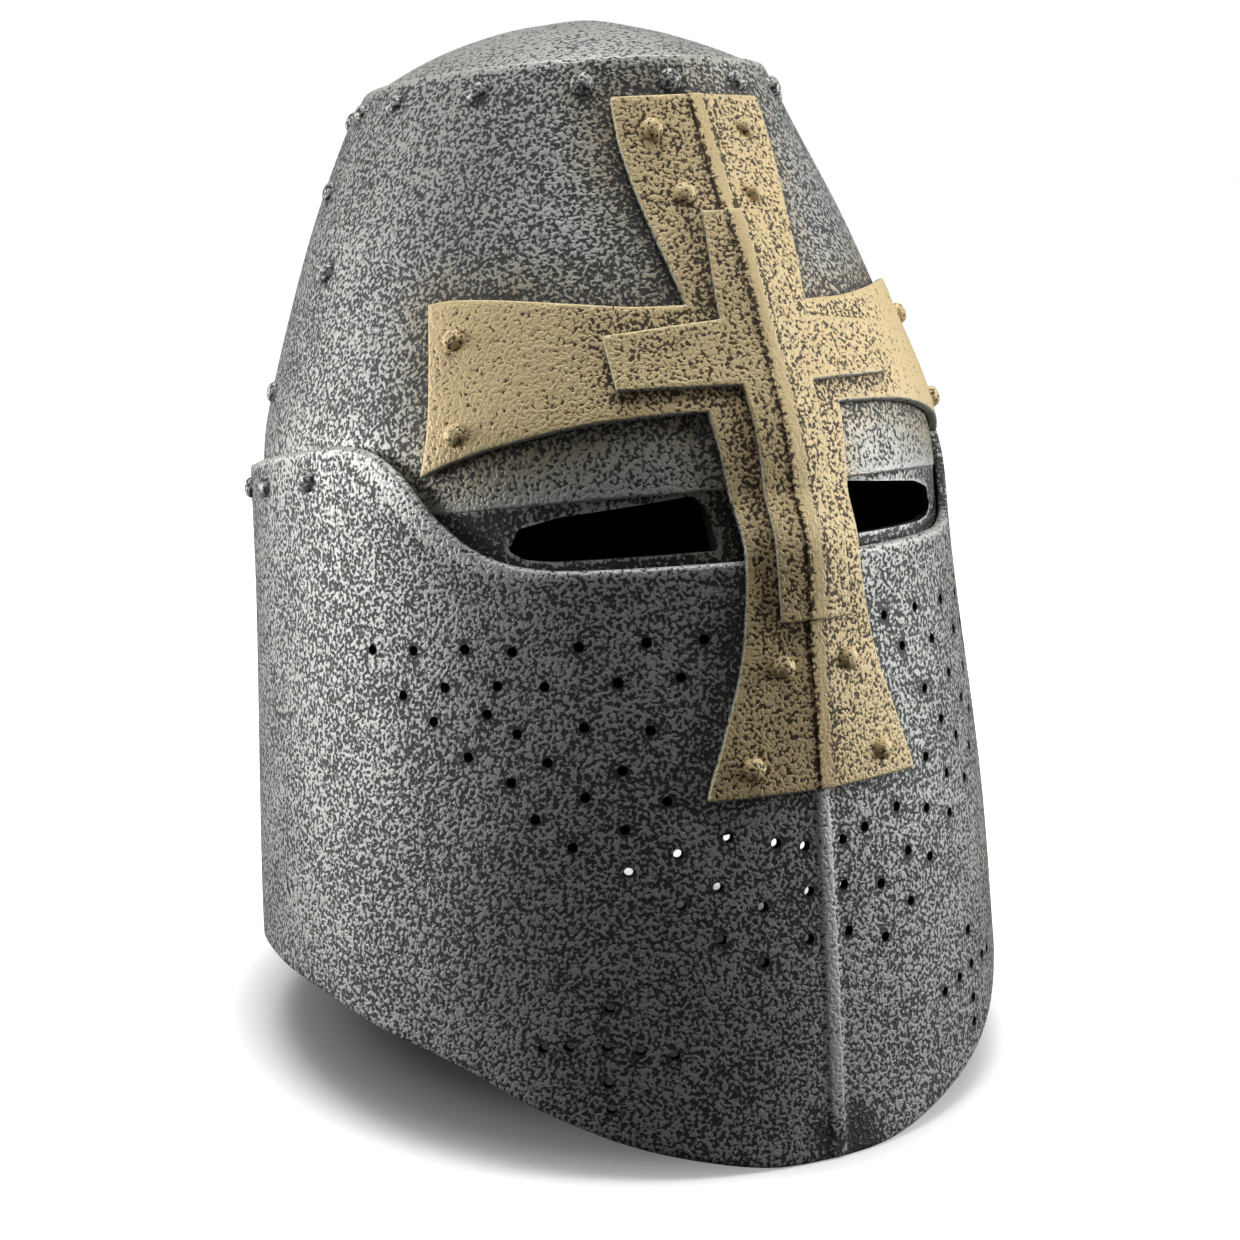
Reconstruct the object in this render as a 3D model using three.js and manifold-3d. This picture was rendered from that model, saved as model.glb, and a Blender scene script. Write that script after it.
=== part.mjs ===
import * as THREE from "three";
import Module from "manifold-3d";

// A riveted great helm: a face plate round the lower half, a tapered skull, a domed crown and a
// flared cross in two layers down the front. Millimetres, +Z up.
// The helm is drawn upright in its own axes: x to the wearer's left, y to the back, z up along the
// front ridge, which is at y = 0. A group then leans it back until it stands on its rim.
// A turn is the angle round the oval plan in degrees, 0 at the front ridge, 90 at the wearer's left.

const wasm = await Module();
wasm.setup();

const GAP = 0.3;
// How far a cut solid may move to lose needless triangles.
const PLAINER = 0.1;
const LEAN_DEG = 6.9;
const FLOOR_AT_RIDGE = -12.2;
const FLOOR_CUT = { width: 400, depth: 500, height: 100 };

const PLATE_WALL = 2.8;
const SKULL_WALL = 3.2;
// The eye slot: a groove round the front that fades out between two turns.
const GROOVE_DEPTH = 5.6;
const GROOVE_END_DEPTH = 1;
const GROOVE_FADE = { from: 12, to: 62 };
const GROOVE_FLOOR = 152;
const GROOVE_OVER_BROW = 2;
const BROW_LIP = 0.8;
const BROW_LIP_SHARE = 0.64;
const FLANGE_HEIGHT = 8;
const FLANGE_WALL = 3;
const CROWN_EDGE = 292;
const LIP_WIDTH = 1.6;
const CAP_SEAT = 289.4;
const SEAT_WIDTH = 3.4;
const SEAT_HEIGHT = 3;
const SEAT_TAPER = 5;
const CAP_RIM = 291.4;
const CAP_WALL = 3;
const DOME_RISE = 17.6;
const DOME_CREASE = 0.9;
const CREASE_HALF_WIDTH = 9;

const CROSS_GAP = 0.5;
const OUTER_CROSS_TOP = 3.2;
const INNER_CROSS_TOP = 5.6;

const BREATH_HOLE = 1.35;
const DRILL_LENGTH = 12;
const RIVET_RADIUS = 3.3;
const RIVET_HEIGHT = 2.3;
const CROSS_RIVET_RADIUS = 3.1;

const SILVER = { color: 0x8d8f8c, roughness: 0.55, metalness: 0.35 };
const GOLD = { color: 0xb3935a, roughness: 0.6, metalness: 0.25 };

// Plan sections of the outer faces: half width, and y of the front, the widest point and the back.
const PLATE_SECTIONS = [
  { z: -20, half: 115.8, front: 0, middle: 115.8, back: 232 },
  { z: 16, half: 114.2, front: 0, middle: 115.2, back: 233 },
  { z: 48, half: 112.5, front: 0, middle: 115.6, back: 234 },
  { z: 80, half: 110.2, front: 0, middle: 117, back: 235 },
  { z: 112, half: 107.5, front: 0.8, middle: 119.2, back: 236 },
  { z: 144, half: 104.8, front: 2.2, middle: 122, back: 236.5 },
  { z: 190, half: 101.4, front: 4.4, middle: 125.6, back: 236 },
];

const SKULL_SECTIONS = [
  { z: 140, half: 101.6, front: 5.6, middle: 122, back: 233 },
  { z: 164, half: 99.8, front: 7.2, middle: 124.2, back: 232.8 },
  { z: 189, half: 97.5, front: 11.4, middle: 125.2, back: 231.4 },
  { z: 208, half: 92.6, front: 18.8, middle: 125.6, back: 227.6 },
  { z: 232, half: 84.6, front: 28.2, middle: 126.6, back: 220.6 },
  { z: 256, half: 75.6, front: 39.4, middle: 127.6, back: 212.4 },
  { z: 280, half: 64.6, front: 50, middle: 127.8, back: 202.6 },
  { z: 292, half: 57.8, front: 54.4, middle: 127.2, back: 196 },
];

// The front of the oval: how far the crest of the keel stands out, and how full the shoulders are,
// where 2 is a true oval.
const FRONT_FORM = [
  { z: -20, keel: 0, fullness: 2 },
  { z: 40, keel: 0.4, fullness: 2 },
  { z: 95, keel: 1.8, fullness: 2.03 },
  { z: 130, keel: 3, fullness: 2.04 },
  { z: 160, keel: 3, fullness: 2.06 },
  { z: 175, keel: 3, fullness: 2.14 },
  { z: 192, keel: 3, fullness: 2.15 },
  { z: 220, keel: 4, fullness: 2.14 },
  { z: 255, keel: 4.2, fullness: 2.12 },
  { z: 275, keel: 2.4, fullness: 2.06 },
  { z: 292, keel: 0.6, fullness: 2 },
];
const KEEL_WIDTH = 32;

// Height of the face plate's lower rim and upper edge, and of the brow above the eye slot, by turn.
const RIM = [
  { turn: 0, z: -13 },
  { turn: 10, z: -11.6 },
  { turn: 20, z: -6.9 },
  { turn: 31, z: 0 },
  { turn: 41, z: 8.6 },
  { turn: 53, z: 19.8 },
  { turn: 66, z: 27.6 },
  { turn: 80, z: 34.4 },
  { turn: 92, z: 36.9 },
  { turn: 109, z: 37.8 },
  { turn: 125, z: 34.5 },
  { turn: 142, z: 26.5 },
  { turn: 157, z: 16.5 },
  { turn: 168, z: 13 },
  { turn: 180, z: 12.6 },
];

const PLATE_EDGE = [
  { turn: 0, z: 154.3 },
  { turn: 36, z: 154.9 },
  { turn: 42, z: 156.2 },
  { turn: 46.4, z: 158.5 },
  { turn: 49.4, z: 161 },
  { turn: 52.5, z: 164.9 },
  { turn: 55.7, z: 169.6 },
  { turn: 58.8, z: 175.4 },
  { turn: 61.3, z: 180.6 },
  { turn: 64.3, z: 184.8 },
  { turn: 67.3, z: 187.6 },
  { turn: 72, z: 189.2 },
  { turn: 77, z: 189 },
  { turn: 85.3, z: 187.4 },
  { turn: 97, z: 185 },
  { turn: 110, z: 182.4 },
  { turn: 145, z: 180.4 },
  { turn: 180, z: 180 },
];

const BROW = [
  { turn: 0, z: 173.4 },
  { turn: 28, z: 172.8 },
  { turn: 46, z: 171.4 },
  { turn: 57, z: 170.1 },
  { turn: 180, z: 170.1 },
];

// Eye hole in the back of the slot, on the wearer's left.
const EYE_HOLE = [
  { x: 18.8, z: 156.8 },
  { x: 60, z: 156.8 },
  { x: 66, z: 157.7 },
  { x: 69.2, z: 160.2 },
  { x: 66.8, z: 166 },
  { x: 57.8, z: 168.7 },
  { x: 23.8, z: 172 },
  { x: 20.4, z: 166.6 },
];
const EYE_CUT = { front: -20, back: 75 };

// Half widths of the outer cross up its upright, which its arms leave at 193.2 to 221.6.
const OUTER_UPRIGHT = [
  { z: 91.7, half: 32.5 },
  { z: 95, half: 31.8 },
  { z: 103, half: 28.8 },
  { z: 112, half: 25.6 },
  { z: 121, half: 22.4 },
  { z: 130, half: 20 },
  { z: 137.6, half: 18.8 },
  { z: 146, half: 17.8 },
  { z: 154, half: 17.3 },
  { z: 164, half: 17.5 },
  { z: 174, half: 18.3 },
  { z: 184, half: 19.2 },
  { z: 193.2, half: 20.2 },
  { z: 221.6, half: 18.5 },
  { z: 232, half: 19.9 },
  { z: 242, half: 21.4 },
  { z: 253, half: 22.6 },
  { z: 266, half: 23.4 },
  { z: 279.4, half: 22.6 },
];

// Lower and upper edges of an outer arm from the upright to its end.
const OUTER_ARM = [
  { along: 0, lowX: 20.2, lowZ: 193.2, highX: 18.5, highZ: 221.6 },
  { along: 0.25, lowX: 35.6, lowZ: 192.8, highX: 33, highZ: 222 },
  { along: 0.5, lowX: 52, lowZ: 191.4, highX: 47, highZ: 223.8 },
  { along: 0.75, lowX: 69, lowZ: 187.4, highX: 60.5, highZ: 225.8 },
  { along: 0.9, lowX: 78, lowZ: 183.6, highX: 68.8, highZ: 226.5 },
  { along: 1, lowX: 83.4, lowZ: 180, highX: 73, highZ: 225.8 },
];

const INNER_UPRIGHT = [
  { z: 137.4, half: 9.8 },
  { z: 154, half: 9.8 },
  { z: 168, half: 9.7 },
  { z: 182, half: 9.4 },
  { z: 198.6, half: 10.1 },
  { z: 216.5, half: 11.1 },
  { z: 245.5, half: 7.8 },
];

const INNER_ARM = [
  { along: 0, lowX: 10.1, lowZ: 198.6, highX: 11.1, highZ: 216.5 },
  { along: 1, lowX: 41.6, lowZ: 199, highX: 41.2, highZ: 213.8 },
];

// Breath holes of the wearer's left cheek, in lanes that fall towards the ridge. The right has the same.
const BREATH_HOLES = [
  { x: 97, z: 133.7 }, { x: 93.5, z: 121.7 }, { x: 89, z: 115 }, { x: 83.7, z: 105.7 },
  { x: 76.1, z: 99 }, { x: 72, z: 89.1 }, { x: 64.8, z: 81.5 }, { x: 52.8, z: 74.3 },
  { x: 40.8, z: 64.4 }, { x: 31, z: 53.9 }, { x: 19.9, z: 46.2 },
  { x: 90.7, z: 134 }, { x: 86.2, z: 124.3 }, { x: 79.1, z: 117.3 }, { x: 73.8, z: 112 },
  { x: 68.2, z: 104.3 }, { x: 61, z: 94.8 }, { x: 52.8, z: 85.7 }, { x: 40.6, z: 78.3 },
  { x: 31, z: 68.3 }, { x: 19.2, z: 61.4 }, { x: 6.4, z: 50.7 },
  { x: 81.7, z: 134.6 }, { x: 76.5, z: 124.8 }, { x: 59.6, z: 113.4 }, { x: 52.1, z: 101.5 },
  { x: 42.2, z: 92.6 }, { x: 27.4, z: 81.5 }, { x: 14.4, z: 78.3 }, { x: 5.6, z: 63.8 },
  { x: 72.8, z: 133.9 }, { x: 67.1, z: 124.5 }, { x: 58.9, z: 134.7 }, { x: 51, z: 124.7 },
  { x: 44.6, z: 111.6 }, { x: 43.5, z: 134.9 }, { x: 35.9, z: 125.1 }, { x: 29.1, z: 134.6 },
  { x: 6.1, z: 76.4 },
];

// Eight breath holes low on each cheek make a small cross.
const CROSS_HOLES = [
  { x: 59.4, z: 37.8 },
  { x: 60.6, z: 27.3 },
  { x: 60.9, z: 17.1 },
  { x: 60.7, z: 9.9 },
  { x: 44.9, z: 23.8 },
  { x: 52.9, z: 25.7 },
  { x: 69, z: 27.4 },
  { x: 74.6, z: 27 },
];

const CROWN_RIVET_TURNS = [
  -163, -142, -120, -98, -80, -53.5, -27, -4.5, 18.5, 40.5, 63, 86, 109, 132, 154, 176,
];
const CROWN_RIVET_HEIGHT = 284.8;

const SEAM_RIVETS = [
  { turn: 100, z: 262.2 },
  { turn: 88, z: 238 },
  { turn: 105, z: 204 },
];

const PLATE_RIVETS = [
  { turn: 81, z: 179.5 },
  { turn: 95, z: 177 },
  { turn: 110, z: 175.2 },
  { turn: 127, z: 173.6 },
  { turn: 145, z: 172.4 },
  { turn: 163, z: 172 },
];

const CROSS_RIVETS = [
  { name: "top", x: 14.2, z: 269.8 },
  { name: "upper", x: 10.3, z: 251.4 },
  { name: "arm_high", x: 71, z: 215.6 },
  { name: "arm_low", x: 76, z: 190.8 },
  { name: "lower", x: 9.6, z: 125.6 },
  { name: "bottom", x: 20, z: 99.4 },
];

// Smooth value of one column of a table at a place, through every row of the table.
function columnAt(table, key, place, axis) {
  const last = table.length - 1;
  let row = 0;
  while (row < last - 1 && place > table[row + 1][axis]) {
    row += 1;
  }
  const slopeAt = (index) => {
    const before = table[Math.max(index - 1, 0)];
    const after = table[Math.min(index + 1, last)];
    return (after[key] - before[key]) / (after[axis] - before[axis]);
  };
  const low = table[row];
  const high = table[row + 1];
  const span = high[axis] - low[axis];
  const share = THREE.MathUtils.clamp((place - low[axis]) / span, 0, 1);
  const square = share * share;
  const cube = square * share;
  return (
    low[key] * (2 * cube - 3 * square + 1) +
    high[key] * (3 * square - 2 * cube) +
    slopeAt(row) * span * (cube - 2 * square + share) +
    slopeAt(row + 1) * span * (cube - square)
  );
}

const sectionAt = (table, key, z) => columnAt(table, key, z, "z");
const edgeAt = (table, turn) => columnAt(table, "z", Math.abs(turn), "turn");

// y of an outer face at a place across the front or the back half.
function outlineY(sections, share, z, isFront) {
  const middle = sectionAt(sections, "middle", z);
  const across = Math.min(Math.abs(share), 1);
  if (!isFront) {
    return middle + (sectionAt(sections, "back", z) - middle) * Math.sqrt(1 - across * across);
  }
  const keel = sectionAt(FRONT_FORM, "keel", z);
  const fullness = sectionAt(FRONT_FORM, "fullness", z);
  const depth = middle - sectionAt(sections, "front", z) - keel;
  const crest = Math.max(0, 1 - (across * sectionAt(sections, "half", z)) / KEEL_WIDTH);
  return middle - depth * (1 - across ** fullness) ** (1 / fullness) - keel * crest * crest;
}

// Point of an outer face at a turn and height, moved out along the oval's level normal.
function wallPoint(sections, turn, z, out) {
  const angle = THREE.MathUtils.degToRad(turn);
  const half = sectionAt(sections, "half", z);
  const isFront = Math.cos(angle) > 0;
  const end = sectionAt(sections, isFront ? "front" : "back", z);
  const depth = Math.abs(sectionAt(sections, "middle", z) - end);
  const y = outlineY(sections, Math.sin(angle), z, isFront);
  const normal = new THREE.Vector3(depth * Math.sin(angle), -half * Math.cos(angle), 0).normalize();
  return new THREE.Vector3(half * Math.sin(angle), y, z).addScaledVector(normal, out);
}

// Outer face that the cross lies on, by x and z: the face plate below the slot, the skull above it.
const CROSS_LEAVES_PLATE = 156;
const CROSS_MEETS_SKULL = 172;

function frontPoint(x, z) {
  const yOf = (sections) => outlineY(sections, x / sectionAt(sections, "half", z), z, true);
  const share = THREE.MathUtils.smoothstep(z, CROSS_LEAVES_PLATE, CROSS_MEETS_SKULL);
  return new THREE.Vector3(x, THREE.MathUtils.lerp(yOf(PLATE_SECTIONS), yOf(SKULL_SECTIONS), share), z);
}

function outwardNormal(pointAt, u, v, step) {
  const across = pointAt(u + step, v).sub(pointAt(u - step, v));
  const up = pointAt(u, v + step).sub(pointAt(u, v - step));
  return across.cross(up).normalize();
}

function frontOffset(x, z, out) {
  return frontPoint(x, z).addScaledVector(outwardNormal(frontPoint, x, z, 0.5), out);
}

function geometryOf(points, faces) {
  const geometry = new THREE.BufferGeometry();
  const positions = points.flatMap((point) => [point.x, point.y, point.z]);
  geometry.setAttribute("position", new THREE.Float32BufferAttribute(positions, 3));
  geometry.setIndex(faces);
  return geometry;
}

// Closed ring: one loop of points at each turn, up the outside and down the inside.
function ringGeometry(turns, loopAt) {
  const loops = turns.map(loopAt);
  const count = loops[0].length;
  const faces = [];
  loops.forEach((loop, column) => {
    const next = ((column + 1) % loops.length) * count;
    const here = column * count;
    for (let row = 0; row < count; row += 1) {
      const above = (row + 1) % count;
      faces.push(here + row, next + row, next + above);
      faces.push(here + row, next + above, here + above);
    }
  });
  return geometryOf(loops.flat(), faces);
}

// Closed plate over the front: blocks of a grid in x and z, joined where their edges meet.
function frontPlate(blocks, low, high) {
  const spots = [];
  const keys = new Map();
  const quads = [];
  const spotOf = (x, z) => {
    const key = `${x.toFixed(3)} ${z.toFixed(3)}`;
    if (!keys.has(key)) {
      keys.set(key, spots.length);
      spots.push({ x, z });
    }
    return keys.get(key);
  };
  for (const { across, up, at } of blocks) {
    for (let i = 0; i < across; i += 1) {
      for (let j = 0; j < up; j += 1) {
        const corners = [[i, j], [i + 1, j], [i + 1, j + 1], [i, j + 1]];
        quads.push(corners.map(([a, b]) => {
          const spot = at(a / across, b / up);
          return spotOf(spot.x, spot.z);
        }));
      }
    }
  }
  const under = spots.length;
  const points = [
    ...spots.map(({ x, z }) => frontOffset(x, z, high)),
    ...spots.map(({ x, z }) => frontOffset(x, z, low)),
  ];
  const faces = [];
  const edges = new Set(quads.flatMap((q) => q.map((from, k) => `${from} ${q[(k + 1) % 4]}`)));
  for (const q of quads) {
    faces.push(q[0], q[1], q[2], q[0], q[2], q[3]);
    faces.push(under + q[0], under + q[2], under + q[1], under + q[0], under + q[3], under + q[2]);
    q.forEach((from, k) => {
      const to = q[(k + 1) % 4];
      if (!edges.has(`${to} ${from}`)) {
        faces.push(from, under + from, under + to, from, under + to, to);
      }
    });
  }
  return geometryOf(points, faces);
}

function toSolid(geometry) {
  return new wasm.Manifold(new wasm.Mesh({
    numProp: 3,
    vertProperties: new Float32Array(geometry.getAttribute("position").array),
    triVerts: new Uint32Array(geometry.getIndex().array),
  }));
}

function fromSolid(solid) {
  const mesh = solid.getMesh();
  const geometry = new THREE.BufferGeometry();
  geometry.setAttribute("position", new THREE.BufferAttribute(mesh.vertProperties, 3));
  geometry.setIndex(new THREE.BufferAttribute(mesh.triVerts, 1));
  return geometry;
}

function meshOf(name, geometry, look) {
  const mesh = new THREE.Mesh(geometry, new THREE.MeshStandardMaterial(look));
  geometry.computeVertexNormals();
  mesh.name = name;
  return mesh;
}

// Every 6 degrees round the front half and 9 round the back, with any finer turns asked for.
function wallTurns(finer) {
  const turns = [0, 180];
  for (let turn = 6; turn < 180; turn += turn < 90 ? 6 : 9) {
    turns.push(turn, -turn);
  }
  for (const turn of finer) {
    turns.push(turn, -turn);
  }
  return turns.sort((a, b) => a - b);
}

// Everything under the standing plane, in the helm's own axes.
function floorBlock() {
  const lean = THREE.MathUtils.degToRad(LEAN_DEG);
  const block = new THREE.BoxGeometry(FLOOR_CUT.width, FLOOR_CUT.depth, FLOOR_CUT.height);
  block.deleteAttribute("normal");
  block.deleteAttribute("uv");
  block.translate(0, 0, -FLOOR_CUT.height / 2);
  block.rotateX(lean);
  block.translate(0, 0, FLOOR_AT_RIDGE);
  return block;
}

// Five-sided drill through a wall at a point of its outer face.
function drillAt(x, z, radius) {
  const drill = new THREE.CylinderGeometry(radius, radius, DRILL_LENGTH, 5);
  const normal = outwardNormal(frontPoint, x, z, 0.5);
  drill.applyQuaternion(new THREE.Quaternion().setFromUnitVectors(new THREE.Vector3(0, 1, 0), normal));
  const middle = frontPoint(x, z);
  drill.translate(middle.x, middle.y, middle.z);
  return drill;
}

// The shapes of three.js repeat a point for each face, so they are merged by place before a cut.
function weld(geometry) {
  const position = geometry.getAttribute("position");
  const index = geometry.getIndex();
  const keys = new Map();
  const points = [];
  const newIndex = [];
  for (let i = 0; i < position.count; i += 1) {
    const point = new THREE.Vector3().fromBufferAttribute(position, i);
    const key = point.toArray().map((value) => value.toFixed(4)).join(" ");
    if (!keys.has(key)) {
      keys.set(key, points.length);
      points.push(point);
    }
    newIndex.push(keys.get(key));
  }
  const faces = [];
  for (let i = 0; i < index.count; i += 3) {
    const [a, b, c] = [0, 1, 2].map((corner) => newIndex[index.getX(i + corner)]);
    if (a !== b && b !== c && c !== a) {
      faces.push(a, b, c);
    }
  }
  return geometryOf(points, faces);
}

function facePlate() {
  const rows = 4;
  const wall = ringGeometry(wallTurns([39, 45, 51, 57, 63, 69]), (turn) => {
    const bottom = edgeAt(RIM, turn);
    const top = edgeAt(PLATE_EDGE, turn);
    const loop = [];
    for (let row = 0; row <= rows; row += 1) {
      loop.push(wallPoint(PLATE_SECTIONS, turn, THREE.MathUtils.lerp(bottom, top, row / rows), 0));
    }
    for (let row = rows; row >= 0; row -= 1) {
      loop.push(wallPoint(PLATE_SECTIONS, turn, THREE.MathUtils.lerp(bottom, top, row / rows), -PLATE_WALL));
    }
    return loop;
  });
  let solid = toSolid(wall).subtract(toSolid(weld(floorBlock())));
  for (const hole of [...BREATH_HOLES, ...CROSS_HOLES]) {
    for (const side of [1, -1]) {
      solid = solid.subtract(toSolid(weld(drillAt(side * hole.x, hole.z, BREATH_HOLE))));
    }
  }
  return meshOf("face_plate", fromSolid(solid.simplify(PLAINER)), SILVER);
}

// Cutter for one eye hole: the outline in x and z, run from front to back.
function eyeCutter(side) {
  const outline = EYE_HOLE.map(({ x, z }) => new THREE.Vector2(side * x, z));
  const length = EYE_CUT.back - EYE_CUT.front;
  const cutter = new THREE.ExtrudeGeometry(new THREE.Shape(outline), { depth: length, bevelEnabled: false });
  cutter.rotateX(Math.PI / 2);
  cutter.translate(0, EYE_CUT.back, 0);
  return flatCopy(cutter);
}

// An extrusion has no index of its own, so each corner is numbered before the weld.
function flatCopy(geometry) {
  const count = geometry.getAttribute("position").count;
  geometry.setIndex(Array.from({ length: count }, (_, corner) => corner));
  return weld(geometry);
}

function grooveDepth(turn) {
  const fade = THREE.MathUtils.smoothstep(Math.abs(turn), GROOVE_FADE.from, GROOVE_FADE.to);
  return THREE.MathUtils.lerp(GROOVE_DEPTH, GROOVE_END_DEPTH, fade);
}

// The skull's wall turns in under the brow, drops as the back of the eye slot and comes out again
// in a flange that the face plate sits on. Its top is rebated for the crown.
function skull() {
  const rows = 9;
  const wall = ringGeometry(wallTurns([]), (turn) => {
    const at = (z, out) => wallPoint(SKULL_SECTIONS, turn, z, out);
    const atEdge = (z, out) => at(CROWN_EDGE, out).setZ(z);
    const groove = grooveDepth(turn);
    const brow = edgeAt(BROW, turn);
    const grooveTop = brow + GROOVE_OVER_BROW;
    const outside = [];
    for (let row = 0; row <= rows; row += 1) {
      outside.push(at(THREE.MathUtils.lerp(brow, CROWN_EDGE, row / rows), 0));
    }
    const seatBottom = CAP_SEAT - SEAT_HEIGHT;
    const inside = [seatBottom - SEAT_TAPER, 256, 232, 208, 196].map((z) => at(z, -SKULL_WALL));
    return [
      at(GROOVE_FLOOR - FLANGE_HEIGHT, 0),
      at(GROOVE_FLOOR, 0),
      at(GROOVE_FLOOR, -groove),
      at(grooveTop, -groove),
      at(brow + BROW_LIP, -groove * BROW_LIP_SHARE),
      ...outside,
      atEdge(CROWN_EDGE, -LIP_WIDTH),
      atEdge(CAP_SEAT, -LIP_WIDTH),
      atEdge(CAP_SEAT, -LIP_WIDTH - SEAT_WIDTH),
      atEdge(seatBottom, -LIP_WIDTH - SEAT_WIDTH),
      ...inside,
      at(grooveTop + SKULL_WALL, -groove - SKULL_WALL),
      at(GROOVE_FLOOR - 1, -groove - SKULL_WALL),
      at(GROOVE_FLOOR - FLANGE_HEIGHT, -FLANGE_WALL),
    ];
  });
  const solid = [1, -1].reduce((left, side) => left.subtract(toSolid(eyeCutter(side))), toSolid(wall));
  return meshOf("skull", fromSolid(solid.simplify(PLAINER)), SILVER);
}

// Domed crown plate, seated in the skull's rebate, with a faint crease from front to back.
function crownCap() {
  const rings = 5;
  const step = 9;
  const inset = LIP_WIDTH + GAP;
  const base = CAP_SEAT + GAP;
  const centre = new THREE.Vector2(0, sectionAt(SKULL_SECTIONS, "middle", CROWN_EDGE));
  const topAt = (x, share) => {
    const crease = Math.max(0, 1 - Math.abs(x) / CREASE_HALF_WIDTH);
    return CAP_RIM + (DOME_RISE + DOME_CREASE * crease) * (1 - share * share);
  };
  const points = [];
  const faces = [];
  const spotAt = (turn, share) => {
    const edge = wallPoint(SKULL_SECTIONS, turn, CROWN_EDGE, -inset);
    return new THREE.Vector2(edge.x, edge.y).sub(centre).multiplyScalar(share).add(centre);
  };
  const columns = 360 / step;
  for (let column = 0; column < columns; column += 1) {
    const turn = column * step;
    for (let ring = 1; ring <= rings; ring += 1) {
      const spot = spotAt(turn, ring / rings);
      points.push(new THREE.Vector3(spot.x, spot.y, topAt(spot.x, ring / rings)));
    }
    for (let ring = rings; ring >= 1; ring -= 1) {
      const spot = spotAt(turn, ring / rings);
      const hollow = ring === rings ? base : topAt(spot.x, ring / rings) - CAP_WALL;
      points.push(new THREE.Vector3(spot.x, spot.y, Math.max(base, hollow)));
    }
  }
  const loop = rings * 2;
  const topPole = points.length;
  const bottomPole = topPole + 1;
  points.push(new THREE.Vector3(centre.x, centre.y, topAt(0, 0)));
  points.push(new THREE.Vector3(centre.x, centre.y, topAt(0, 0) - CAP_WALL));
  for (let column = 0; column < columns; column += 1) {
    const here = column * loop;
    const next = ((column + 1) % columns) * loop;
    faces.push(topPole, here, next);
    faces.push(bottomPole, next + loop - 1, here + loop - 1);
    for (let row = 0; row < loop - 1; row += 1) {
      faces.push(here + row, here + row + 1, next + row + 1);
      faces.push(here + row, next + row + 1, next + row);
    }
  }
  return meshOf("crown_cap", geometryOf(points, faces), SILVER);
}

// A block of the upright between two heights, as wide as the table says.
function uprightBlock(table, low, high, across, up) {
  return {
    across,
    up,
    at: (a, b) => {
      const z = THREE.MathUtils.lerp(low, high, b);
      return { x: (2 * a - 1) * sectionAt(table, "half", z), z };
    },
  };
}

function armBlock(table, side, across, up) {
  return {
    across,
    up,
    at: (a, b) => {
      const along = side > 0 ? a : 1 - a;
      const value = (key) => columnAt(table, key, along, "along");
      return {
        x: side * THREE.MathUtils.lerp(value("lowX"), value("highX"), b),
        z: THREE.MathUtils.lerp(value("lowZ"), value("highZ"), b),
      };
    },
  };
}

// The middle of a cross, with straight sides that the arms' first columns share.
function middleBlock(arm, across, up) {
  const [root] = arm;
  return {
    across,
    up,
    at: (a, b) => ({
      x: (2 * a - 1) * THREE.MathUtils.lerp(root.lowX, root.highX, b),
      z: THREE.MathUtils.lerp(root.lowZ, root.highZ, b),
    }),
  };
}

function crossMesh(plan) {
  const { name, upright, arm, low, high, columns, middleRows, rowsBelow, rowsAbove, armColumns } = plan;
  const [root] = arm;
  const foot = upright[0].z;
  const head = upright[upright.length - 1].z;
  const blocks = [
    uprightBlock(upright, foot, root.lowZ, columns, rowsBelow),
    middleBlock(arm, columns, middleRows),
    uprightBlock(upright, root.highZ, head, columns, rowsAbove),
    armBlock(arm, 1, armColumns, middleRows),
    armBlock(arm, -1, armColumns, middleRows),
  ];
  return meshOf(name, frontPlate(blocks, low, high), GOLD);
}

// Low domed rivet head, standing on a point along its outward normal.
function rivet(name, point, normal, radius, look) {
  const profile = [
    new THREE.Vector2(0, 0),
    new THREE.Vector2(radius, 0),
    new THREE.Vector2(radius * 0.74, RIVET_HEIGHT * 0.74),
    new THREE.Vector2(0, RIVET_HEIGHT),
  ];
  const mesh = meshOf(name, weld(new THREE.LatheGeometry(profile, 8)), look);
  mesh.position.copy(point).addScaledVector(normal, GAP);
  mesh.quaternion.setFromUnitVectors(new THREE.Vector3(0, 1, 0), normal);
  return mesh;
}

function wallRivet(name, sections, turn, z) {
  const pointAt = (u, v) => wallPoint(sections, u, v, 0);
  return rivet(name, pointAt(turn, z), outwardNormal(pointAt, turn, z, 0.5), RIVET_RADIUS, SILVER);
}

function crossRivet(name, x, z) {
  const normal = outwardNormal(frontPoint, x, z, 0.5);
  return rivet(name, frontOffset(x, z, OUTER_CROSS_TOP), normal, CROSS_RIVET_RADIUS, GOLD);
}

const SIDES = [
  { name: "left", sign: 1 },
  { name: "right", sign: -1 },
];

function wallRivets() {
  const rivets = CROWN_RIVET_TURNS.map((turn, index) =>
    wallRivet(`crown_rivet_${index + 1}`, SKULL_SECTIONS, turn, CROWN_RIVET_HEIGHT));
  for (const { name, sign } of SIDES) {
    SEAM_RIVETS.forEach(({ turn, z }, index) => {
      rivets.push(wallRivet(`seam_rivet_${name}_${index + 1}`, SKULL_SECTIONS, sign * turn, z));
    });
    PLATE_RIVETS.forEach(({ turn, z }, index) => {
      rivets.push(wallRivet(`plate_rivet_${name}_${index + 1}`, PLATE_SECTIONS, sign * turn, z));
    });
  }
  rivets.push(wallRivet("plate_rivet_back", PLATE_SECTIONS, 180, 172));
  return rivets;
}

function crossRivets() {
  return SIDES.flatMap(({ name, sign }) =>
    CROSS_RIVETS.map((spot) => crossRivet(`cross_rivet_${spot.name}_${name}`, sign * spot.x, spot.z)));
}

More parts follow.
